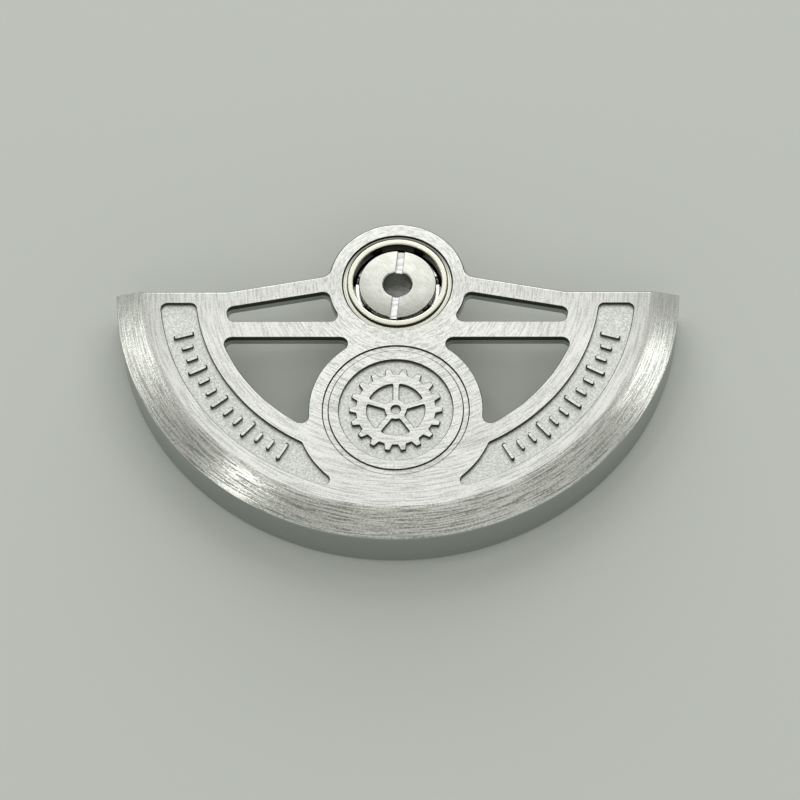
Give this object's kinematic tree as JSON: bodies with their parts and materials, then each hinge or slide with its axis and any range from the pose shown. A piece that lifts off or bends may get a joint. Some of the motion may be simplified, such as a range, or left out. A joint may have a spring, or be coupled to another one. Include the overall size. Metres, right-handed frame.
{
  "type": "automatic watch rotor",
  "caption": "Half-round oscillating weight that swings on a ball bearing to wind a watch: bevelled rim, open web, recessed bands, toothed ring below, slotted hollow screw.",
  "frame": {"origin": "on the rotor's axis, at the level of the bearing foot that seats on the movement", "axes": "+Z out of the brushed top face, away from the movement; the weight hangs towards -Y; X along its straight edge"},
  "size_m": [0.0266, 0.0166, 0.0028],
  "materials": {
    "weight_metal": "brushed",
    "race_steel": "polished",
    "gear_metal": "satin",
    "core_steel": "ground",
    "cage_metal": "satin",
    "screw_steel": "polished",
    "ball_steel": "polished"
  },
  "bodies": {
    "bearing_core": {"inner_race_upper": "core_steel", "inner_race_lower": "core_steel"},
    "rotor": {"oscillating_weight": "weight_metal", "bearing_outer_race": "race_steel", "rotor_gear": "gear_metal"},
    "cage": {"ball_cage": "cage_metal"},
    "screw": {"fixing_screw": "screw_steel"},
    "ball_1": {"bearing_ball_1": "ball_steel"},
    "ball_2": {"bearing_ball_2": "ball_steel"},
    "ball_3": {"bearing_ball_3": "ball_steel"},
    "ball_4": {"bearing_ball_4": "ball_steel"},
    "ball_5": {"bearing_ball_5": "ball_steel"},
    "ball_6": {"bearing_ball_6": "ball_steel"},
    "ball_7": {"bearing_ball_7": "ball_steel"}
  },
  "joints": [
    {"name": "rotor_spin", "type": "hinge", "parent": "bearing_core", "child": "rotor", "pos_m": [0, 0, 0], "axis": [0, 0, 1], "continuous": true},
    {"name": "screw_turn", "type": "hinge", "parent": "bearing_core", "child": "screw", "pos_m": [0, 0, 0], "axis": [0, 0, 1], "continuous": true},
    {"name": "cage_spin", "type": "hinge", "parent": "bearing_core", "child": "cage", "pos_m": [0, 0, 0], "axis": [0, 0, 1], "continuous": true},
    {"name": "ball_1_roll", "type": "hinge", "parent": "cage", "child": "ball_1", "pos_m": [0, -0.00193, 0.00052], "axis": [0, 0, 1], "continuous": true},
    {"name": "ball_2_roll", "type": "hinge", "parent": "cage", "child": "ball_2", "pos_m": [0.00151, -0.00121, 0.00052], "axis": [0, 0, 1], "continuous": true},
    {"name": "ball_3_roll", "type": "hinge", "parent": "cage", "child": "ball_3", "pos_m": [0.00189, 0.00043, 0.00052], "axis": [0, 0, 1], "continuous": true},
    {"name": "ball_4_roll", "type": "hinge", "parent": "cage", "child": "ball_4", "pos_m": [0.00084, 0.00174, 0.00052], "axis": [0, 0, 1], "continuous": true},
    {"name": "ball_5_roll", "type": "hinge", "parent": "cage", "child": "ball_5", "pos_m": [-0.00084, 0.00174, 0.00052], "axis": [0, 0, 1], "continuous": true},
    {"name": "ball_6_roll", "type": "hinge", "parent": "cage", "child": "ball_6", "pos_m": [-0.00189, 0.00043, 0.00052], "axis": [0, 0, 1], "continuous": true},
    {"name": "ball_7_roll", "type": "hinge", "parent": "cage", "child": "ball_7", "pos_m": [-0.00151, -0.00121, 0.00052], "axis": [0, 0, 1], "continuous": true}
  ],
  "couplings": [
    {"joint": "cage_spin", "follows": "rotor_spin", "ratio": 0.54569},
    {"joint": "ball_1_roll", "follows": "rotor_spin", "ratio": 5.4265},
    {"joint": "ball_2_roll", "follows": "rotor_spin", "ratio": 5.4265},
    {"joint": "ball_3_roll", "follows": "rotor_spin", "ratio": 5.4265},
    {"joint": "ball_4_roll", "follows": "rotor_spin", "ratio": 5.4265},
    {"joint": "ball_5_roll", "follows": "rotor_spin", "ratio": 5.4265},
    {"joint": "ball_6_roll", "follows": "rotor_spin", "ratio": 5.4265},
    {"joint": "ball_7_roll", "follows": "rotor_spin", "ratio": 5.4265}
  ]
}
